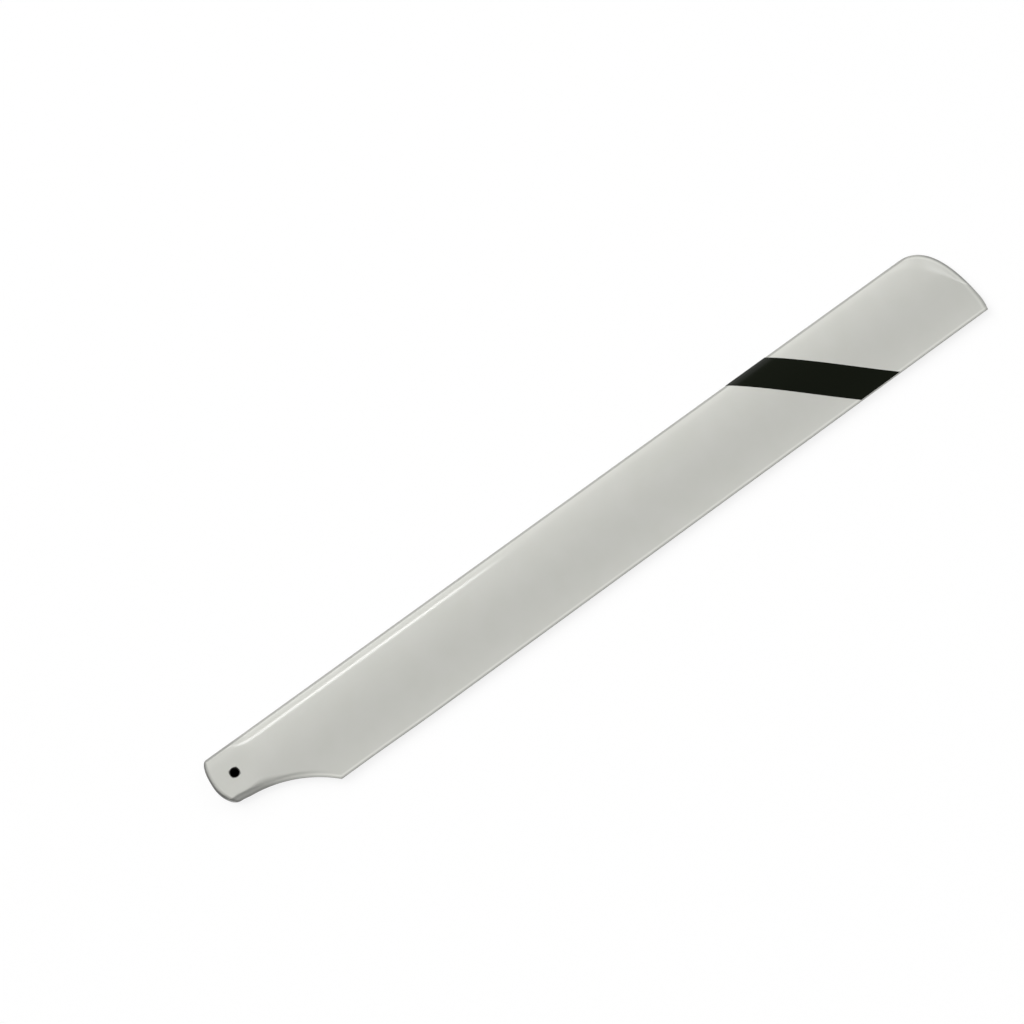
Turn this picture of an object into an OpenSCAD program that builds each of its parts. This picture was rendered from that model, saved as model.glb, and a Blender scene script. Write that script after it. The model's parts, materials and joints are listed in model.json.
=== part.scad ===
// Main rotor blade of a model helicopter, moulded in one piece, with a black marker stripe near its tip.
// The origin is the middle of the bolt hole at half thickness: +X runs out along the span to the tip,
// +Y points to the leading edge and +Z is the bolt's axis.

/* [Planform] */
// Bolt axis to the tip
bolt_to_tip = 315; // [250:1:400]
// Bolt axis to the leading edge
bolt_to_leading_edge = 9.8; // [8:0.05:12]
// Leading edge to trailing edge
chord = 33.55; // [30:0.05:42]

/* [Aerofoil] */
// Largest thickness of the aerofoil
aerofoil_thickness = 4.2; // [3:0.1:4.4]
// Thickness left at the trailing edge
trailing_thickness = 0.5; // [0.3:0.05:0.8]

/* [Root] */
// Thickness of the root between the jaws of the blade grip
root_thickness = 4.5; // [4.3:0.1:6]
// Bolt axis to the root end
bolt_to_root_end = 8.8; // [7:0.05:12]
// Radius of the trailing half of the root end, seen from above
root_end_radius = 12; // [10:0.1:20]
// Length along the span of the rounded leading corner of the root end
root_corner = 3.7; // [2:0.1:6]
// Bolt axis to the trailing side of the root
bolt_to_root_side = 9.3; // [8:0.05:12]
// Radius of the corner between the root end and that side
root_side_corner = 1.2; // [0.5:0.1:2]
// Depth of the rounded leading edge at the root
root_nose = 3; // [2:0.1:4]
// How far the flat clamped faces reach past the bolt axis
flat_past_bolt = 4.5; // [3:0.1:8]
// Length over which the flat root turns into the aerofoil
root_blend = 11.5; // [8:0.1:18]

/* [Cut-out] */
// How far behind the bolt axis the cut-out starts
cutout_start = 4.6; // [4:0.1:6]
// Radius of the cut-out between the root and the trailing edge
cutout_radius = 45.2; // [36:0.1:60]
// Width of the bevelled edge along the cut-out, seen from above
bevel_run = 2; // [1:0.1:3]

/* [Bolt hole] */
// Diameter of the bolt
bolt_d = 3; // [2:0.1:4]
// Room around the bolt, on the diameter
bolt_clearance = 0.2; // [0.1:0.05:0.5]
// Broken edge at both mouths of the hole
hole_chamfer = 0.15; // [0.1:0.05:0.4]

/* [Tip] */
// Length of the rounded leading corner along the span
tip_corner = 16.8; // [12:0.1:26]
// Squareness of that corner: 2 is an ellipse, more is squarer
tip_squareness = 2.7; // [2:0.05:4]
// How far the trailing corner of the tip sits back
tip_heel_back = 1; // [0:0.1:3]
// Length of that set-back along the tip edge
tip_heel_length = 6; // [3:0.1:10]
// Width of the bevel along the leading part of the tip edge
tip_bevel = 5.2; // [2:0.1:7]
// Leading edge to where that bevel starts to narrow
tip_bevel_narrows = 8.8; // [6:0.1:12]
// Leading edge to where it has run out
tip_bevel_end = 19.8; // [14:0.1:26]
// Thickness left at the very edge of the tip
tip_thickness = 1.2; // [0.4:0.05:2]

/* [Stripe] */
// Tip to the outer corner of the stripe at the leading edge
stripe_to_tip = 77; // [72:1:150]
// Width of the stripe, square to its edges
stripe_width = 12; // [6:0.5:20]
// Angle between the stripe and the chord line
stripe_sweep = 47; // [0:1:52]
// Thickness of the stripe's film
film_thickness = 0.1; // [0.06:0.02:0.2]

/* [Hidden] */

// Facets: steps from the leading edge to the bevel and across the bevel, and rows of sections along the span
chord_steps = 32;
bevel_steps = 4;
root_rows = 3;
cutout_rows = 20;
straight_rows = 4;
tip_rows = 10;
tip_bevel_rows = 2;
hole_facets = 64;
// How far a cutter runs past the face that it cuts
cut_past = 1;

trailing_y = bolt_to_leading_edge - chord;
trailing_half = trailing_thickness / 2;
root_half = root_thickness / 2;
hole_r = (bolt_d + bolt_clearance) / 2;

// A narrow last strip keeps the trailing edge, and the tip edge, its own face where there is no bevel
trailing_strip = 0.6;
tip_strip = 0.4;

// The cut-out is one arc, tangent to the root's side, and the bevel's rim is another about the same centre.
// The heel is where the first meets the trailing edge; from where the second does, the section is constant.
cutout_centre_y = -bolt_to_root_side - cutout_radius;
rim_radius = cutout_radius + bevel_run;
function arc_end_x(radius, y) = sqrt(pow(radius, 2) - pow(y - cutout_centre_y, 2)) - cutout_start;
heel_x = arc_end_x(cutout_radius, trailing_y);
straight_start = arc_end_x(rim_radius, trailing_y + trailing_strip);

// The root end starts square to the span on the bolt's line. Behind that line it is an arc, which turns into
// the root's side at a small corner, and ahead of it a quarter ellipse, which runs into the leading edge.
root_arc_x = root_end_radius - sqrt(pow(root_end_radius, 2) - pow(bolt_to_root_side, 2)) - bolt_to_root_end;
root_side_x = root_arc_x + root_side_corner;
// Sections follow the root end at first and are straight from halfway between its corners and the bolt
first_straight_x = max(root_side_x, root_corner - bolt_to_root_end) / 2;

// The straight stretch ends a little ahead of the tip's bevel, which reaches furthest in at the leading edge,
// where a spanwise distance counts at least half
least_square = 0.5;
tip_run_in = 2;
tip_start = bolt_to_tip - tip_corner - tip_bevel / least_square - tip_run_in;
// Where the aerofoil is thickest, as a share of the chord
thickest_share = 0.3;

// Points of one side of a section, numbered from the leading edge back to the outline
last_step = chord_steps + bevel_steps;
steps = [0 : last_step];

// Rises smoothly from 0 at a to 1 at b
function ease(a, b, x) =
    let (t = min(1, max(0, (x - a) / (b - a))))
    t * t * (3 - 2 * t);

// Part of a quarter circle's height at a share of its depth
function round_over(share) = sqrt(1 - pow(1 - min(1, share), 2));

// Half thickness of the aerofoil, at a distance behind the leading edge. As far as its thickest place it is
// the symmetric four-digit aerofoil, and from there it flattens out to the thin trailing edge.
function aerofoil_half(back) =
    let (c = min(1, back / chord))
    c > thickest_share ?
        trailing_half + (aerofoil_thickness / 2 - trailing_half) * (1 - ease(thickest_share, 1, c)) :
        5 * aerofoil_thickness
        * (0.2969 * sqrt(c) - 0.126 * c - 0.3516 * pow(c, 2) + 0.2843 * pow(c, 3) - 0.1036 * pow(c, 4));

// Half thickness of the moulded skin before its edges are shaped
function skin_half(x, back) =
    let (aerofoil = ease(flat_past_bolt, flat_past_bolt + root_blend, x))
    (1 - aerofoil) * root_half * round_over(back / root_nose) + aerofoil * aerofoil_half(back);

// An arc about the cut-out's centre, with the root's side ahead of it, and never behind a least place
function cutout_y(radius, x, least_y) =
    max(least_y, cutout_centre_y + sqrt(max(0, pow(radius, 2) - pow(max(0, x + cutout_start), 2))));

// Trailing side of the outline: root side, cut-out, then trailing edge
function outline_y(x) = cutout_y(cutout_radius, x, trailing_y);

// Upper edge of the bevel, which fades out at the heel, where the skin is as thin as the trailing edge
function rim_y(x) = cutout_y(rim_radius, x, trailing_y + trailing_strip);

// How far across the bevel a point lies, crowded towards the outline
function bevel_share(step) = step < chord_steps ? 0 : sin(90 * (step - chord_steps) / bevel_steps);

// Chordwise place of a point: crowded towards the leading edge as far as the rim, then across the bevel
function point_y(x, step) =
    step > chord_steps ? rim_y(x) + (outline_y(x) - rim_y(x)) * bevel_share(step) :
    bolt_to_leading_edge + (rim_y(x) - bolt_to_leading_edge) * (1 - cos(90 * step / chord_steps));

// Spanwise place of the root end at a point of the section
function root_end_x(step) =
    let (
        y = point_y(-cutout_start, step),
        lead = max(0, y) / bolt_to_leading_edge,
        trail = max(0, -y),
        corner = max(0, bolt_to_root_side - trail) / root_side_corner
    )
    root_corner * (1 - sqrt(1 - pow(lead, 2)))
    + root_end_radius - sqrt(pow(root_end_radius, 2) - pow(trail, 2))
    + root_side_corner * (1 - round_over(corner))
    - bolt_to_root_end;

// Spanwise place of the tip edge at a chordwise place: a squared-off quarter ellipse with its heel set back
function tip_x(y) =
    let (
        rise = max(0, min(1, (y - trailing_y) / chord)),
        heel = max(0, 1 - (y - trailing_y) / tip_heel_length)
    )
    bolt_to_tip - tip_corner * (1 - pow(1 - pow(rise, tip_squareness), 1 / tip_squareness))
    - tip_heel_back * heel * heel;

straight_y = [for (step = steps) point_y(tip_start, step)];
tip_edge = [for (y = straight_y) tip_x(y)];
// Share of a spanwise distance that is square to the tip edge, from the edge's slope over a short reach
slope_reach = 0.05;
tip_square = [for (y = straight_y)
    let (slope = (tip_x(y - slope_reach) - tip_x(y)) / slope_reach)
    max(least_square, 1 / sqrt(1 + slope * slope))];

// Width of the tip's bevel, square to the edge: it narrows ever faster until it has run out
tip_width = [for (y = straight_y)
    let (spread = (tip_bevel_end + y - bolt_to_leading_edge) / (tip_bevel_end - tip_bevel_narrows))
    max(tip_strip, tip_bevel * sqrt(max(0, min(1, spread))))];
tip_crease = [for (step = steps) tip_edge[step] - tip_width[step] / tip_square[step]];

// Half thickness of the finished blade: both bevels end on a thin land
function blade_half(x, step) =
    let (
        wall = skin_half(x, bolt_to_leading_edge - point_y(x, min(step, chord_steps))),
        skin = wall + (trailing_half - wall) * bevel_share(step),
        land = min(skin, tip_thickness / 2),
        inside = max(0, tip_edge[step] - x) * tip_square[step]
    )
    land + (skin - land) * min(1, inside / tip_width[step]);

// Spanwise places of every section's points: root end, cut-out, straight stretch, tip and its bevel
root_sections = [for (row = [0 : root_rows - 1])
    [for (step = steps) root_end_x(step) + (first_straight_x - root_end_x(step)) * row / root_rows]];
cutout_sections = [for (row = [0 : cutout_rows])
    [for (step = steps) first_straight_x + (heel_x - first_straight_x) * row / cutout_rows]];
straight_sections = [for (row = [0 : straight_rows])
    [for (step = steps) straight_start + (tip_start - straight_start) * row / straight_rows]];
tip_sections = [for (row = [1 : tip_rows])
    [for (step = steps) tip_start + (tip_crease[step] - tip_start) * row / tip_rows]];
tip_bevel_sections = [for (row = [1 : tip_bevel_rows])
    [for (step = steps) tip_crease[step] + (tip_edge[step] - tip_crease[step]) * row / tip_bevel_rows]];
sections = concat(root_sections, cutout_sections, straight_sections, tip_sections, tip_bevel_sections);

// One closed section: over the top from the outline to the leading edge, then back underneath
function ring(xs) = concat(
    [for (step = [last_step : -1 : 0]) [xs[step], point_y(xs[step], step), blade_half(xs[step], step)]],
    [for (step = [1 : last_step]) [xs[step], point_y(xs[step], step), -blade_half(xs[step], step)]]);

ring_size = 2 * last_step + 1;
section_count = len(sections);

// Number of a point on a section, counted round the ring
function corner(section, k) = section * ring_size + k % ring_size;

// Two triangles for each cell of the skin, mirrored between the upper and the lower side
skin_faces = [for (s = [0 : section_count - 2], k = [0 : ring_size - 1])
    let (a = corner(s, k), b = corner(s + 1, k), c = corner(s + 1, k + 1), d = corner(s, k + 1))
    each k < last_step ? [[a, b, c], [a, c, d]] : [[a, b, d], [b, c, d]]];

// An end wall joins each point of the upper side to the one below it
function end_wall(s) = [for (k = [0 : last_step - 1])
    let (
        a = corner(s, k),
        b = corner(s, k + 1),
        below_a = corner(s, 2 * last_step - k),
        below_b = corner(s, 2 * last_step - k - 1)
    )
    each k == last_step - 1 ? [[a, b, below_a]] : [[a, b, below_b], [a, below_b, below_a]]];

function reversed(faces) = [for (f = faces) [f[2], f[1], f[0]]];

module bolt_hole() {
    cylinder(h = root_thickness + 2 * cut_past, r = hole_r, center = true, $fn = hole_facets);
    mouth_depth = hole_chamfer + cut_past;
    for (side = [0, 1]) mirror([0, 0, side])
        translate([0, 0, root_half - hole_chamfer])
            cylinder(h = mouth_depth, r1 = hole_r, r2 = hole_r + mouth_depth, $fn = hole_facets);
}

module blade() {
    color("#d0d0ca") difference() {
        polyhedron(
            points = [for (xs = sections) each ring(xs)],
            faces = concat(skin_faces, end_wall(0), reversed(end_wall(section_count - 1))));
        bolt_hole();
    }
}

// The film follows the straight section's own points and stands off them by its thickness
film_inner = [for (p = ring([for (step = steps) tip_start])) [p[1], p[2]]];
film_outer = [for (k = [0 : ring_size - 1])
    let (
        along = film_inner[min(ring_size - 1, k + 1)] - film_inner[max(0, k - 1)],
        outward = [-along[1], along[0]] / norm(along)
    )
    film_inner[k] + film_thickness * outward];

// The stripe seen from above, from ahead of the leading edge to behind the trailing edge
module stripe_plan() {
    front_y = bolt_to_leading_edge + cut_past;
    back_y = trailing_y - cut_past;
    span_width = stripe_width / cos(stripe_sweep);
    outer_x = bolt_to_tip - stripe_to_tip;
    front_x = outer_x - cut_past * tan(stripe_sweep);
    back_x = outer_x + (chord + cut_past) * tan(stripe_sweep);
    polygon([
        [front_x - span_width, front_y],
        [front_x, front_y],
        [back_x, back_y],
        [back_x - span_width, back_y]
    ]);
}

module marker_stripe() {
    color("#171915") intersection() {
        translate([straight_start, 0, 0]) rotate([90, 0, 90])
            linear_extrude(tip_start - straight_start)
                polygon(concat(film_outer, [for (k = [ring_size - 1 : -1 : 0]) film_inner[k]]));
        translate([0, 0, -root_thickness]) linear_extrude(2 * root_thickness) stripe_plan();
    }
}

blade();
marker_stripe();
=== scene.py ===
"""Looks of a moulded rotor blade for a model helicopter, with a slanted black marker stripe near its tip.

Everything is in metres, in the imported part's frame: the origin is the middle of the bolt hole at half
thickness, +X runs out along the span to the tip, +Y points to the leading edge and +Z is the bolt's axis.
"""
import json
import math

import bmesh
import bpy
import numpy as np
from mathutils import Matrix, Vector


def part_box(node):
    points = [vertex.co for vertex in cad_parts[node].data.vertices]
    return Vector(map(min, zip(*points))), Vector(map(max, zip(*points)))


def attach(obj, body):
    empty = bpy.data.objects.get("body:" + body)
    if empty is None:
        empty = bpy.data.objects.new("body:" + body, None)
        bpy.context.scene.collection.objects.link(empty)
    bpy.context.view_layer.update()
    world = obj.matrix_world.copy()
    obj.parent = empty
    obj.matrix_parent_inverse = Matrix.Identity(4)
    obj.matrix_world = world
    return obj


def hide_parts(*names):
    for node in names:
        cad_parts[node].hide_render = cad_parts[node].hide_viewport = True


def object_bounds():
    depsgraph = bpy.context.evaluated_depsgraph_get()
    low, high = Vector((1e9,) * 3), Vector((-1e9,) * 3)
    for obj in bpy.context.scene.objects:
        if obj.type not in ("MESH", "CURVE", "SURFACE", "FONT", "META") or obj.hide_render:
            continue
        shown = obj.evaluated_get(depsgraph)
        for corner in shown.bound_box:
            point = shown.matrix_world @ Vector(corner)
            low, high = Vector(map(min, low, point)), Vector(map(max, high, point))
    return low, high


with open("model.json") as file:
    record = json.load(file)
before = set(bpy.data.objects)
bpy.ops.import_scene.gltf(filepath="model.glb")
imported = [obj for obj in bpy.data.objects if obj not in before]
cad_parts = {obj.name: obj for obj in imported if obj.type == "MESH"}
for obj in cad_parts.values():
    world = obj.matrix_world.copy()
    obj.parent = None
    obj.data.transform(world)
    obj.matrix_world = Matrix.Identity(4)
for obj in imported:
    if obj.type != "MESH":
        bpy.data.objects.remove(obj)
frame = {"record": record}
cad_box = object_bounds()

MM = 0.001

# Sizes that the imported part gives
blade_low, blade_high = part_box("blade")
stripe_low, stripe_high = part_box("marker_stripe")
mounts = {mount["name"]: mount for mount in frame["record"]["mounts"]}
root_end = blade_low.x
tip_end = blade_high.x
leading_y = blade_high.y
trailing_y = blade_low.y
root_half = blade_high.z
chord = leading_y - trailing_y
hole_radius = mounts["bolt_hole"]["dims"]["r_mm"] * MM
hole_chamfer = root_half - mounts["bolt_hole"]["dims"]["length_mm"] * MM / 2
film_thickness = stripe_high.y - leading_y

# Section of the blade
aerofoil_thickness = 4.2 * MM
trailing_half = 0.25 * MM
thickest_share = 0.3
edge_radius = 0.22 * MM

# Bolt hole: its mouth, and half the side of the square in the blade's grid that it is set into
mouth_radius = hole_radius + hole_chamfer
hole_window = 2.9 * MM

# Root: flat clamped faces with a slightly sloping nose, then a blend into the aerofoil
root_nose = 3.9 * MM
root_nose_edge = 1.4 * MM
root_nose_slope = math.tan(math.radians(5.5))
root_nose_softening = 1 * MM
flat_past_bolt = 2 * MM
root_blend = 9 * MM
root_end_radius = 12 * MM
root_corner = 3.7 * MM
root_side_y = -9.3 * MM
root_side_taper = 0.4 * MM
root_side_corner = 1 * MM
side_taper_start = -4.2 * MM
side_taper_end = 0.8 * MM
root_rim = 0.35 * MM
most_rim_share = 0.8

# Cut-out: one arc from the root's side to the heel, with a bevel along it, and then the trailing edge
cutout_start = 4.6 * MM
cutout_radius = 45.2 * MM
bevel_run = 2 * MM
bevel_softness = 0.18
blend_softness = 0.5
rim_fade = 7 * MM
edge_strip = 2.2 * MM
heel_lift = 0.38 * MM
heel_lift_hold = 10 * MM
heel_lift_run = 30 * MM
heel_stretch = 6 * MM
cutout_centre_y = root_side_y - cutout_radius
heel_rise = trailing_y + heel_lift - cutout_centre_y
heel_x = math.sqrt(cutout_radius ** 2 - heel_rise ** 2) - cutout_start
straight_start = heel_x + heel_stretch

# Tip: a squared-off quarter ellipse with a bevel along it, which fades out towards the trailing edge
tip_corner = 16.8 * MM
tip_squareness = 2.7
tip_heel_back = 1 * MM
tip_heel_length = 6 * MM
tip_bevel = 5.2 * MM
tip_bevel_narrows = 8.8 * MM
tip_bevel_end = 22 * MM
tip_land_half = 0.6 * MM
tip_edge_radius = 0.4 * MM
tip_crease = 0.55
least_square = 0.5
tip_margin = 2 * MM
tip_start = tip_end - tip_corner - tip_bevel / least_square - tip_margin

# Stripe of film across the chord
stripe_slope = math.tan(math.radians(47))
stripe_span = stripe_high.x - stripe_low.x - chord * stripe_slope
film_edge = 0.15 * MM
film_edge_band = 0.02
film_setback = 0.4 * MM

# Painted shade along the edges and a darker root end: its share at each edge, and the distances between which
# it fades out
cut_bare = 0.85
cut_bare_lost_at_corner = 0.5
cut_corner = (4.5 * MM, 8.5 * MM)
cut_fade = (0.4 * MM, 1.3 * MM)
nose_seam_bare = 0.46
nose_seam_bare_gained_at_root = 0.12
nose_shade_reach = 0.75 * MM
nose_shade_reach_gained_at_root = 0.2 * MM
nose_shade_fade = 0.4 * MM
cutout_seam_bare = 0.1
trailing_seam_bare = 0.2
outline_shade_fade = (0.3 * MM, 0.8 * MM)
tip_seam_bare = 0.35
tip_seam_bare_gained_in_middle = 0.25
tip_middle_start = (-16 * MM, -7 * MM)
tip_middle_end = (4 * MM, 8 * MM)
tip_shade_fade = (0.5 * MM, 1.4 * MM)

# Paler line painted just inside the edges: its share along each line, and how far the line lies from the edge
# and reaches to each side
outline_rubbed = 0.9
outline_rubbed_line = 0.95 * MM
outline_rubbed_half = 0.6 * MM
tip_rubbed = 0.5
tip_rubbed_line = 1.7 * MM
tip_rubbed_half = 0.7 * MM


def ease(low, high, value):
    """Smooth step: 3t² - 2t³, where t goes from 0 at low to 1 at high."""
    t = np.clip((value - low) / (high - low), 0, 1)
    return t * t * (3 - 2 * t)


def round_over(share):
    """Height of a quarter circle of radius 1 at a share of its depth: sqrt(1 - (1 - share)²)."""
    return np.sqrt(1 - (1 - np.clip(share, 0, 1)) ** 2)


def soft_least(a, b, softness):
    """The smaller of a and b, with the corner where they cross rounded by a parabola of that softness."""
    overlap = np.clip(1 - np.abs(a - b) / softness, 0, 1)
    return np.minimum(a, b) - overlap ** 2 * softness / 4


def aerofoil_half(behind):
    """Half thickness at a distance behind the leading edge: the symmetric four-digit aerofoil as far as its
    thickest place, then a smooth step down to the thin trailing edge."""
    c = np.clip(behind / chord, 0, 1)
    front = 0.2969 * np.sqrt(c) - 0.126 * c - 0.3516 * c ** 2 + 0.2843 * c ** 3 - 0.1036 * c ** 4
    rear = trailing_half + (aerofoil_thickness / 2 - trailing_half) * (1 - ease(thickest_share, 1, c))
    return np.where(c > thickest_share, rear, 5 * aerofoil_thickness * front)


def aerofoil_share(x):
    """Smooth step along the span from the flat root, 0, to the aerofoil, 1."""
    return ease(flat_past_bolt, flat_past_bolt + root_blend, x)


def skin_half(x, y):
    """Half thickness of the moulded skin: the flat root, with a slightly sloping nose and a rounded edge,
    turns into the aerofoil over the blend."""
    behind = leading_y - y
    sloping = root_half - root_nose_slope * (root_nose - behind)
    faces = soft_least(sloping, root_half, root_nose_slope * root_nose_softening)
    root = faces * round_over(behind / root_nose_edge)
    aerofoil = aerofoil_share(x)
    return (1 - aerofoil) * root + aerofoil * aerofoil_half(behind)


def arc_centre_y(x):
    """Chordwise place of the cut-out's centre, which moves forward by a smooth step beside the bolt, so that
    the root's side runs in towards the root end."""
    return cutout_centre_y + root_side_taper * (1 - ease(side_taper_start, side_taper_end, x))


def arc_distance(x, y):
    """Distance past the circle of the cut-out, with the root's side ahead of it."""
    return np.hypot(np.maximum(x + cutout_start, 0), y - arc_centre_y(x)) - cutout_radius


def trailing_edge_y(x):
    """Trailing edge seen from above: straight, but it runs in by a smooth step towards the heel."""
    lift_end = heel_x + heel_lift_hold
    return trailing_y + heel_lift * (1 - ease(lift_end, lift_end + heel_lift_run, x))


def outline_distance(x, y):
    """Distance from the outline behind: from the cut-out, or from the trailing edge where that is nearer."""
    return np.clip(np.minimum(arc_distance(x, y), y - trailing_edge_y(x)), 0, None)


def cutout_y(radius, x, least_y):
    """Arc about the cut-out's centre, with the root's side ahead of it, and never behind a least place."""
    along = np.maximum(x + cutout_start, 0)
    return np.maximum(least_y, arc_centre_y(x) + np.sqrt(np.maximum(radius ** 2 - along ** 2, 0)))


def rim_softness(x):
    """Softness of the bevel's rim, as a share of its run: most in the middle of the root's blend."""
    from_middle = np.abs(x - flat_past_bolt - root_blend / 2)
    return bevel_softness + blend_softness * (1 - ease(0, rim_fade, from_middle))


def root_end_x(y):
    """Root end seen from above: an arc behind the bolt's line, which turns into the root's side at a small
    corner, and a quarter ellipse ahead of that line."""
    side = -root_side_y - root_side_taper
    trail = np.clip(-y, 0, side)
    arc = root_end_radius - np.sqrt(root_end_radius ** 2 - trail ** 2)
    side_corner = root_side_corner * (1 - round_over((side - trail) / root_side_corner))
    lead_corner = root_corner * (1 - np.sqrt(1 - np.clip(y / leading_y, 0, 1) ** 2))
    return root_end + arc + side_corner + lead_corner


def tip_x(y):
    """Tip edge seen from above: a quarter ellipse of a higher power p, whose fall is 1 - (1 - rise^p)^(1/p),
    with its trailing corner set back along a parabola."""
    rise = np.clip((y - trailing_y) / chord, 0, 1)
    heel = np.clip(1 - (y - trailing_y) / tip_heel_length, 0, 1)
    fall = 1 - (1 - rise ** tip_squareness) ** (1 / tip_squareness)
    return tip_end - tip_corner * fall - tip_heel_back * heel ** 2


def tip_square(y):
    """Share of a spanwise distance that is square to the tip edge: 1 / sqrt(1 + slope²), with the slope taken
    over a short reach. It is never less than half, so that the bevel ends where the tip starts."""
    reach = 0.05 * MM
    slope = (tip_x(y - reach) - tip_x(y)) / reach
    return np.maximum(least_square, 1 / np.sqrt(1 + slope ** 2))


def tip_distance(x, y):
    """Distance from the tip edge, square to it."""
    return (tip_x(y) - x) * tip_square(y)


def blade_half(x, y):
    """Half thickness of the finished blade: along the cut-out the skin falls to a thin land over the bevel's
    run, with a softened rim; the outline is a half-round edge and the root end has a broken rim. The tip
    falls to a rounded edge along its own bevel, which narrows as a square root towards the trailing edge."""
    skin = skin_half(x, y)
    across_bevel = soft_least(np.clip(arc_distance(x, y), 0, None) / bevel_run, 1, rim_softness(x))
    land = np.minimum(skin, trailing_half)
    half = land + (skin - land) * np.clip(across_bevel, 0, 1)
    half = half * round_over(outline_distance(x, y) / edge_radius)
    rim = np.minimum(root_rim, half * most_rim_share)
    half = half - rim * (1 - round_over((x - root_end_x(y)) / root_rim))
    from_tip = np.clip(tip_distance(x, y), 0, None)
    spread = np.clip((tip_bevel_end + y - leading_y) / (tip_bevel_end - tip_bevel_narrows), 0, 1)
    tip_width = np.maximum(tip_edge_radius, tip_bevel * np.sqrt(spread))
    across_tip = soft_least(from_tip / tip_width, 1, tip_crease)
    tip_land = np.minimum(half, tip_land_half)
    half = tip_land + (half - tip_land) * np.clip(across_tip, 0, 1)
    return half * round_over(from_tip / tip_edge_radius)


# Angle past which an edge stays sharp, and distance within which points are merged
SHARP_ANGLE = 35
MERGE_DISTANCE = 0.001 * MM


def grid_faces(rows, columns):
    """Corner numbers of the cells of a grid whose points are numbered row by row, as an array of cells."""
    number = np.arange(rows * columns).reshape(rows, columns)
    return np.stack([number[:-1, :-1], number[:-1, 1:], number[1:, 1:], number[1:, :-1]], axis=-1)


def make_piece(name, points, faces, material, **painted_shares):
    """A smooth-shaded mesh at the origin: seams merged, faces outwards, edges past an angle kept sharp. Each
    painted share, such as painted shade or a paler line, is given at every point, and the material reads it
    under that name."""
    mesh = bpy.data.meshes.new(name)
    mesh.from_pydata(points.tolist(), [], faces.tolist())
    for kind, share in painted_shares.items():
        attribute = mesh.attributes.new(kind, "FLOAT", "POINT")
        attribute.data.foreach_set("value", share.ravel().astype(np.float32))
    shape = bmesh.new()
    shape.from_mesh(mesh)
    bmesh.ops.remove_doubles(shape, verts=shape.verts, dist=MERGE_DISTANCE)
    bmesh.ops.recalc_face_normals(shape, faces=shape.faces)
    shape.to_mesh(mesh)
    shape.free()
    mesh.shade_smooth()
    mesh.set_sharp_from_angle(angle=math.radians(SHARP_ANGLE))
    mesh.materials.append(material)
    piece = bpy.data.objects.new(name, mesh)
    bpy.context.scene.collection.objects.link(piece)
    return piece


# Columns of the blade's grid: crowded towards the leading edge, then crowded towards the outline
NOSE_COLUMNS = 64
EDGE_COLUMNS = 28
nose_share = np.append(1 - np.cos(np.linspace(0, math.pi / 2, NOSE_COLUMNS + 1)), np.ones(EDGE_COLUMNS))
edge_share = np.append(np.ones(NOSE_COLUMNS), np.linspace(1, 0, EDGE_COLUMNS + 1) ** 2)

# Rows of the blade's grid along the span
WALL_ROWS = 3
RIM_ROWS = 6
ROOT_ROWS = 8
WINDOW_ROWS = 14
CUTOUT_ROWS = 48
HEEL_ROWS = 8
STRAIGHT_ROWS = 40
TIP_ROWS = 72

# Rings from the grid's window to the bolt hole's mouth, and rows across the film
MOUTH_RINGS = 4
FILM_EDGE_ROWS = 8
FILM_ROWS = 12


def column_y(x):
    """Chordwise place of each column: nose columns run from the leading edge to just ahead of the bevel's
    rim, edge columns from there to the outline."""
    trailing = trailing_edge_y(x)
    outline = cutout_y(cutout_radius, x, trailing)
    rim_radius = cutout_radius + bevel_run * (1 + bevel_softness)
    ahead_of_rim = cutout_y(rim_radius, x, trailing + edge_strip)
    return leading_y + (ahead_of_rim - leading_y) * nose_share - (ahead_of_rim - outline) * (1 - edge_share)


def blade_top():
    """Points of the blade's upper side as rows of X, Y, Z: up the root end's wall, over its rim, past the
    bolt, along the cut-out and the straight stretch, and over the tip to its edge."""
    root_y = column_y(np.array([[-cutout_start]]))
    root = root_end_x(root_y)
    rim = root_rim * (1 - np.cos(np.linspace(0, math.pi / 2, RIM_ROWS + 1)))[:, None]
    to_window = np.linspace(0, 1, ROOT_ROWS + 1)[1:, None]
    straight = np.concatenate([
        np.linspace(-hole_window, hole_window, WINDOW_ROWS + 1)[1:],
        np.linspace(hole_window, heel_x, CUTOUT_ROWS + 1)[1:],
        np.linspace(heel_x, straight_start, HEEL_ROWS + 1)[1:],
        np.linspace(straight_start, tip_start, STRAIGHT_ROWS + 1)[1:],
    ])[:, None]
    tip = tip_x(column_y(np.array([[tip_start]])))
    over_tip = np.sin(np.linspace(0, math.pi / 2, TIP_ROWS + 1))[1:, None]
    x = np.concatenate([
        np.repeat(root, WALL_ROWS, axis=0),
        root + rim,
        root + root_rim + (-hole_window - root - root_rim) * to_window,
        np.repeat(straight, root.size, axis=1),
        tip_start + (tip - tip_start) * over_tip,
    ])
    y = column_y(x)
    lift = np.ones((len(x), 1))
    lift[:WALL_ROWS, 0] = np.arange(WALL_ROWS) / WALL_ROWS
    return np.stack([x, y, blade_half(x, y) * lift], axis=-1)


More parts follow.
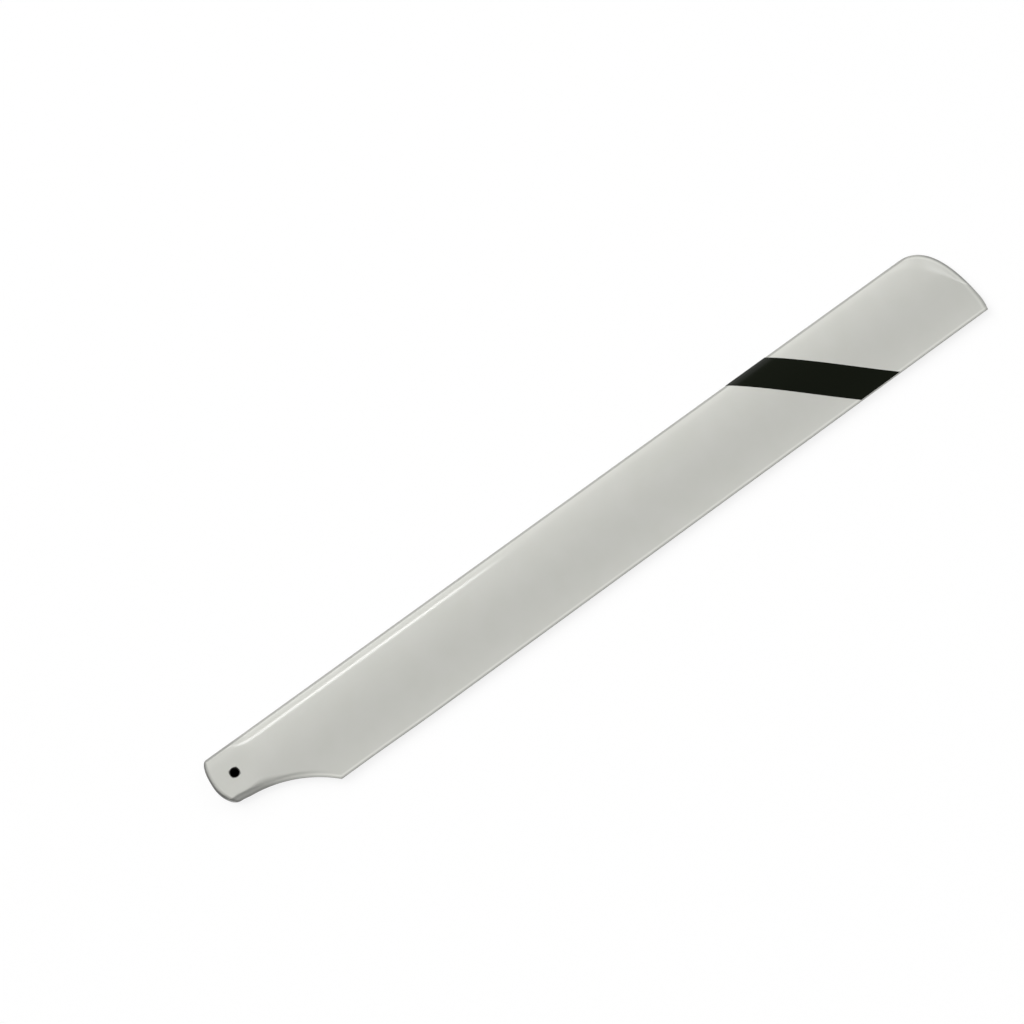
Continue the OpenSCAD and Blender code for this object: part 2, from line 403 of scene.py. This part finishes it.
def bare_share(x, y):
    """Share of the dark colour: most on the root end, less as painted shade along the leading edge, the
    outline and the tip, where the surface turns away from the light. Each fades out by a smooth step."""
    # Dark colour over the root end, fading out a little way along the top
    cut = cut_bare - cut_bare_lost_at_corner * ease(*cut_corner, -y)
    dark_root_end = cut * (1 - ease(*cut_fade, x - root_end_x(y)))
    at_root = 1 - aerofoil_share(x)
    nose = nose_seam_bare + nose_seam_bare_gained_at_root * at_root
    reach = nose_shade_reach + nose_shade_reach_gained_at_root * at_root
    # Painted shade along the leading edge, wider at the root
    nose_painted_shade = nose * (1 - ease(reach, reach + nose_shade_fade, leading_y - y))
    past_heel = ease(heel_x - heel_stretch, heel_x, x)
    outline = cutout_seam_bare + (trailing_seam_bare - cutout_seam_bare) * past_heel
    # Painted shade along the cut-out and the trailing edge
    outline_painted_shade = outline * (1 - ease(*outline_shade_fade, outline_distance(x, y)))
    # Painted shade along the tip edge, most in its middle
    in_middle = ease(*tip_middle_start, y) * (1 - ease(*tip_middle_end, y))
    tip = tip_seam_bare + tip_seam_bare_gained_in_middle * in_middle
    tip_painted_shade = tip * (1 - ease(*tip_shade_fade, tip_distance(x, y)))
    return np.maximum.reduce([dark_root_end, nose_painted_shade, outline_painted_shade, tip_painted_shade])


def rubbed_share(x, y):
    """Share of the paler colour: a narrow line painted just inside the dark edge along the outline and the
    tip, which fades by a smooth step to each side."""
    from_outline_line = np.abs(outline_distance(x, y) - outline_rubbed_line)
    from_tip_line = np.abs(tip_distance(x, y) - tip_rubbed_line)
    beside_outline = outline_rubbed * (1 - ease(0, outline_rubbed_half, from_outline_line))
    beside_tip = tip_rubbed * (1 - ease(0, tip_rubbed_half, from_tip_line))
    return np.maximum(beside_outline, beside_tip)


def bolt_hole(window):
    """The hole's tube: rings shrink in equal steps from the square window in the root's face to the mouth's
    circle, go down the chamfer and the bore to half thickness, and come out below as the mirror image."""
    across = window[:, :2]
    outwards = across / np.linalg.norm(across, axis=1, keepdims=True)
    to_mouth = np.append(np.linspace(0, 1, MOUTH_RINGS + 1), [1, 1])[:, None, None]
    radius = np.append(np.full(MOUTH_RINGS + 1, mouth_radius), [hole_radius, hole_radius])[:, None, None]
    height = np.append(np.full(MOUTH_RINGS + 1, root_half), [root_half - hole_chamfer, 0])[:, None, None]
    rings = across * (1 - to_mouth) + outwards * radius * to_mouth
    level = window[:, 2:] * (1 - to_mouth) + height * to_mouth
    upper = np.concatenate([rings, level], axis=2)
    lower = upper[-2::-1] * (1, 1, -1)
    tube = np.concatenate([upper, lower])
    return np.concatenate([tube, tube[:, :1]], axis=1)


def make_blade(material):
    """The upper side, its mirror image below and the bolt hole, joined along their common edges."""
    top = blade_top()
    rows, columns = top.shape[:2]
    faces = grid_faces(rows, columns)
    first_row = WALL_ROWS + RIM_ROWS + ROOT_ROWS
    last_row = first_row + WINDOW_ROWS
    bolt_row_y = top[first_row + WINDOW_ROWS // 2, :, 1]
    inside = np.flatnonzero(np.abs(bolt_row_y) < hole_window)
    first_column, last_column = inside[0], inside[-1]
    window = np.concatenate([
        top[first_row, first_column:last_column],
        top[first_row:last_row, last_column],
        top[last_row, last_column:first_column:-1],
        top[last_row:first_row:-1, first_column],
    ])
    tube = bolt_hole(window)
    kept = np.ones(faces.shape[:2], bool)
    kept[first_row:last_row, first_column:last_column] = False
    side_faces = faces[kept]
    tube_faces = grid_faces(*tube.shape[:2]).reshape(-1, 4)
    side_points = rows * columns
    points = np.concatenate([part.reshape(-1, 3) for part in (top, top * (1, 1, -1), tube)])
    all_faces = np.concatenate([side_faces, side_faces[:, ::-1] + side_points, tube_faces + 2 * side_points])
    side_bare = bare_share(top[..., 0], top[..., 1]).ravel()
    side_rubbed = rubbed_share(top[..., 0], top[..., 1]).ravel()
    # Painted shade over the chamfer and the bore of the bolt hole
    bore_bare = (np.hypot(tube[..., 0], tube[..., 1]) < mouth_radius + MERGE_DISTANCE).ravel()
    return make_piece(
        "rotor_blade", points, all_faces, material,
        bare=np.concatenate([side_bare, side_bare, bore_bare]),
        rubbed=np.concatenate([side_rubbed, side_rubbed, np.zeros(bore_bare.size)]),
    )


def make_stripe(material):
    """A thin film that follows the section from the trailing edge over the leading edge and back below. From
    each edge it rises in a quarter circle to its full thickness, and its inner side lies on the skin."""
    section_y = column_y(np.array([[tip_start]]))[0]
    section_y = section_y[section_y > trailing_y + film_setback]
    mid_span = (heel_x + tip_start) / 2
    section_half = blade_half(np.full_like(section_y, mid_span), section_y)
    path_y = np.concatenate([section_y[::-1], section_y[1:]])
    path_z = np.concatenate([section_half[::-1], -section_half[1:]])
    along = np.stack([np.gradient(path_y), np.gradient(path_z)], axis=-1)
    along = along / np.linalg.norm(along, axis=1, keepdims=True)
    edge = film_edge_band * np.linspace(0, 1, FILM_EDGE_ROWS + 1) ** 2
    between = np.linspace(film_edge_band, 1 - film_edge_band, FILM_ROWS + 1)[1:-1]
    across = np.concatenate([edge, between, 1 - edge[::-1]])[:, None]
    from_edge = np.minimum(across, 1 - across) * stripe_span
    from_end = path_y - path_y.min()
    height = film_thickness * round_over(from_edge / film_edge) * round_over(from_end / film_edge)
    inner_x = stripe_low.x + (stripe_high.y - path_y) * stripe_slope

    def layer(rise):
        """The section carried across the stripe, moved outwards by the rise."""
        x = inner_x + stripe_span * across
        y = path_y - along[:, 1] * rise
        z = path_z + along[:, 0] * rise
        return np.stack([x, y, z], axis=-1)

    outer = layer(height)
    inner = layer(np.zeros_like(height))
    faces = grid_faces(*outer.shape[:2]).reshape(-1, 4)
    points = np.concatenate([outer.reshape(-1, 3), inner.reshape(-1, 3)])
    all_faces = np.concatenate([faces, faces[:, ::-1] + outer.shape[0] * outer.shape[1]])
    return make_piece("marker_film", points, all_faces, material)


def linear(hex_colour):
    """Linear RGBA of an sRGB hex colour."""
    share = np.array([int(hex_colour[k:k + 2], 16) for k in (1, 3, 5)]) / 255
    rgb = np.where(share <= 0.04045, share / 12.92, ((share + 0.055) / 1.055) ** 2.4)
    return (*rgb, 1.0)


def add_node(tree, kind, inputs, **settings):
    """Adds a node, applies its settings and fills its inputs, each with a value or another node's output."""
    node = tree.nodes.new(kind)
    for name, value in settings.items():
        setattr(node, name, value)
    for name, value in inputs.items():
        if isinstance(value, bpy.types.NodeSocket):
            tree.links.new(value, node.inputs[name])
        else:
            node.inputs[name].default_value = value
    return node


def new_material(name):
    """An empty node material, with the tree and the output node."""
    material = bpy.data.materials.new(name)
    material.use_nodes = True
    material.node_tree.nodes.clear()
    return material, material.node_tree, add_node(material.node_tree, "ShaderNodeOutputMaterial", {})


# Sizes of the patterns in the finishes
MOTTLE_SIZE = 9 * MM
PEEL_SIZE = 2.5 * MM
PEEL_DEPTH = 0.004 * MM
GRAIN_SIZE = 0.7 * MM
GRAIN_DEPTH = 0.002 * MM


def moulded_gel_coat():
    """White gel coat on glass fibre, moulded against a polished tool: a hard gloss over a grey-white body,
    with a very slight orange peel and a faint mottle where the cloth lies close under the coat. A paler line
    is painted just inside the outline and the tip edge. Painted shade darkens the edges and the bolt hole,
    and the root end is painted dark too. All the dark parts are less glossy."""
    material, tree, output = new_material("moulded_gel_coat")
    place = add_node(tree, "ShaderNodeTexCoord", {}).outputs["Object"]
    # Painted shade along the edges and in the bolt hole, and the dark root end
    bare = add_node(tree, "ShaderNodeAttribute", {}, attribute_name="bare").outputs["Fac"]
    mottle = add_node(tree, "ShaderNodeTexNoise", {"Vector": place, "Scale": 1 / MOTTLE_SIZE, "Detail": 3.0})
    coat = add_node(tree, "ShaderNodeMix", {
        "Factor": mottle.outputs["Fac"],
        "A": linear("#c7c8c1"),
        "B": linear("#cdcdc8"),
    }, data_type="RGBA")
    # A paler line painted just inside the outline and the tip edge
    rubbed = add_node(tree, "ShaderNodeAttribute", {}, attribute_name="rubbed").outputs["Fac"]
    rubbed_coat = add_node(tree, "ShaderNodeMix", {
        "Factor": rubbed,
        "A": coat.outputs["Result"],
        "B": linear("#dcdcd6"),
    }, data_type="RGBA")
    # Dark colour of the painted shade and of the root end
    body = add_node(tree, "ShaderNodeMix", {
        "Factor": bare,
        "A": rubbed_coat.outputs["Result"],
        "B": linear("#262623"),
    }, data_type="RGBA")
    gloss = add_node(tree, "ShaderNodeMapRange", {
        "Value": mottle.outputs["Fac"],
        "To Min": 0.1,
        "To Max": 0.14,
    })
    roughness = add_node(tree, "ShaderNodeMix", {
        "Factor": bare,
        "A": gloss.outputs["Result"],
        "B": 0.6,
    })
    peel = add_node(tree, "ShaderNodeTexNoise", {"Vector": place, "Scale": 1 / PEEL_SIZE, "Detail": 2.0})
    bump = add_node(tree, "ShaderNodeBump", {"Height": peel.outputs["Fac"], "Distance": PEEL_DEPTH})
    shader = add_node(tree, "ShaderNodeBsdfPrincipled", {
        "Base Color": body.outputs["Result"],
        "Roughness": roughness.outputs["Result"],
        "IOR": 1.5,
        "Normal": bump.outputs["Normal"],
    })
    tree.links.new(shader.outputs["BSDF"], output.inputs["Surface"])
    return material


def black_film():
    """Calendered black vinyl film, laid on and rubbed down: a satin black with a fine even grain, which is
    drawn coarser than the real one so that it can show."""
    material, tree, output = new_material("calendered_vinyl_film")
    place = add_node(tree, "ShaderNodeTexCoord", {}).outputs["Object"]
    grain = add_node(tree, "ShaderNodeTexNoise", {"Vector": place, "Scale": 1 / GRAIN_SIZE, "Detail": 2.0})
    tone = add_node(tree, "ShaderNodeMix", {
        "Factor": grain.outputs["Fac"],
        "A": linear("#050a01"),
        "B": linear("#090e02"),
    }, data_type="RGBA")
    bump = add_node(tree, "ShaderNodeBump", {"Height": grain.outputs["Fac"], "Distance": GRAIN_DEPTH})
    shader = add_node(tree, "ShaderNodeBsdfPrincipled", {
        "Base Color": tone.outputs["Result"],
        "Roughness": 0.2,
        "IOR": 1.37,
        "Normal": bump.outputs["Normal"],
    })
    tree.links.new(shader.outputs["BSDF"], output.inputs["Surface"])
    return material


# Part of the paper's white that is its own light
PAPER_GLOW = 0.85


def studio_paper():
    """Matt white paper under and round the blade. Part of its white is its own light to the camera and in
    reflections, so that it stays pale and the shadow light. Under the root, where it shows only through the
    bolt hole, a black disc is painted in as shadow, as no light gets there."""
    material, tree, output = new_material("studio_paper")
    path = add_node(tree, "ShaderNodeLightPath", {})
    reflected = add_node(tree, "ShaderNodeMath", {
        0: path.outputs["Is Glossy Ray"],
        1: path.outputs["Is Transmission Ray"],
    }, operation="ADD")
    seen = add_node(tree, "ShaderNodeMath", {
        0: path.outputs["Is Camera Ray"],
        1: reflected.outputs["Value"],
    }, operation="ADD", use_clamp=True)
    place = add_node(tree, "ShaderNodeTexCoord", {}).outputs["Object"]
    from_bolt = add_node(tree, "ShaderNodeVectorMath", {
        0: place,
        1: (0, 0, cad_box[0].z),
    }, operation="DISTANCE")
    # Painted shadow: a black disc in the paper under the bolt hole, with neither glow nor colour
    outside_painted_shadow = add_node(tree, "ShaderNodeMapRange", {
        "Value": from_bolt.outputs["Value"],
        "From Min": 2 * hole_radius,
        "From Max": 3 * hole_radius,
    })
    seen_share = add_node(tree, "ShaderNodeMath", {
        0: seen.outputs["Value"],
        1: outside_painted_shadow.outputs["Result"],
    }, operation="MULTIPLY")
    glow = add_node(tree, "ShaderNodeMath", {
        0: seen_share.outputs["Value"],
        1: PAPER_GLOW,
    }, operation="MULTIPLY")
    shade = add_node(tree, "ShaderNodeMath", {
        0: outside_painted_shadow.outputs["Result"],
        1: 1 - PAPER_GLOW,
    }, operation="MULTIPLY")
    white = add_node(tree, "ShaderNodeEmission", {"Strength": glow.outputs["Value"]})
    paper = add_node(tree, "ShaderNodeBsdfDiffuse", {"Color": shade.outputs["Value"]})
    both = add_node(tree, "ShaderNodeAddShader", {0: white.outputs["Emission"], 1: paper.outputs["BSDF"]})
    tree.links.new(both.outputs["Shader"], output.inputs["Surface"])
    return material


blade = make_blade(moulded_gel_coat())
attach(blade, "root")
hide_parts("blade")

stripe = make_stripe(black_film())
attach(stripe, "root")
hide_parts("marker_stripe")

# Floor: a wide disc of paper level with the root's lower face, which curves up into a low wall all round
FLOOR_RADIUS = 3.0
COVE_RADIUS = 0.8
WALL_TOP = 1.2
COVE_STEPS = 16
ROUND_STEPS = 96


def make_floor(material):
    """A profile carried round the vertical: the flat disc, a quarter circle and the wall above it."""
    turn = np.linspace(0, math.pi / 2, COVE_STEPS + 1)
    radius = np.concatenate([[0], FLOOR_RADIUS + COVE_RADIUS * np.sin(turn), [FLOOR_RADIUS + COVE_RADIUS]])
    height = np.concatenate([[0], COVE_RADIUS * (1 - np.cos(turn)), [WALL_TOP]]) + cad_box[0].z
    angle = np.linspace(0, 2 * math.pi, ROUND_STEPS + 1)[:, None]
    points = np.stack(np.broadcast_arrays(radius * np.cos(angle), radius * np.sin(angle), height), axis=-1)
    faces = grid_faces(*points.shape[:2]).reshape(-1, 4)
    return make_piece("floor", points.reshape(-1, 3), faces, material)


make_floor(studio_paper())


def place_lamp(name, kind, position, target, **settings):
    """A lamp at a position, turned to face its target."""
    lamp = bpy.data.lights.new(name, kind)
    for setting, value in settings.items():
        setattr(lamp, setting, value)
    holder = bpy.data.objects.new(name, lamp)
    holder.location = position
    holder.rotation_mode = "QUATERNION"
    holder.rotation_quaternion = (target - position).to_track_quat("-Z", "Y")
    holder.visible_camera = False
    bpy.context.scene.collection.objects.link(holder)


def direction(azimuth, elevation):
    """Unit vector towards a place in the sky: azimuth 0 is the side of -Y and 90 that of +X, in degrees."""
    a = math.radians(azimuth)
    e = math.radians(elevation)
    return Vector((math.sin(a) * math.cos(e), -math.cos(a) * math.cos(e), math.sin(e)))


middle = Vector(((root_end + tip_end) / 2, (leading_y + trailing_y) / 2, 0))

# Soft lamps as azimuth, elevation, width of the cone and strength, in degrees and watts per square metre
soft_lamps = {
    "key": (222, 45, 45, 2.03),
    "back_side": (208, 28, 36, 0.9),
    "leading_low": (185, 18, 40, 0.7),
    "leading_side": (168, 32, 36, 0.2),
    "tip_side": (108, 30, 40, 0.42),
    "tip_crease": (114, 49, 17, 0.12),
}
for lamp_name, (azimuth, elevation, cone, strength) in soft_lamps.items():
    sky = middle + direction(azimuth, elevation)
    place_lamp(lamp_name, "SUN", sky, middle, energy=strength, angle=math.radians(cone))

# A narrow strip lamp, which draws the bright line behind the leading edge on the inner part of the blade
STRIP_LENGTH = 224 * MM
STRIP_WIDTH = 90 * MM
STRIP_WATTS = 0.62
strip_place = Vector((152, 565, 900)) * MM
place_lamp("strip", "AREA", strip_place, middle,
           shape="RECTANGLE", size=STRIP_LENGTH, size_y=STRIP_WIDTH, energy=STRIP_WATTS)

# Faint even light from all round
ROOM_LIGHT = 0.2
world = bpy.data.worlds.new("studio")
world.use_nodes = True
background = world.node_tree.nodes["Background"]
background.inputs["Color"].default_value = (1, 1, 1, 1)
background.inputs["Strength"].default_value = ROOM_LIGHT
bpy.context.scene.world = world

# Camera: high over the root, looking out along the span; its sensor and lens are in millimetres
VIEW_DISTANCE = 956.3 * MM
VIEW_AZIMUTH = -36.77
VIEW_ELEVATION = 74
SENSOR_WIDTH = 36
LENS = 95.625
view_target = Vector((131.6, 17.9, 0)) * MM
view_back = direction(VIEW_AZIMUTH, VIEW_ELEVATION)
camera_data = bpy.data.cameras.new("camera")
camera_data.sensor_width = SENSOR_WIDTH
camera_data.lens = LENS
camera = bpy.data.objects.new("camera", camera_data)
camera.location = view_target + view_back * VIEW_DISTANCE
camera.rotation_mode = "QUATERNION"
camera.rotation_quaternion = (-view_back).to_track_quat("-Z", "Y")
bpy.context.scene.collection.objects.link(camera)
bpy.context.scene.camera = camera
bpy.context.scene.view_settings.view_transform = "Standard"
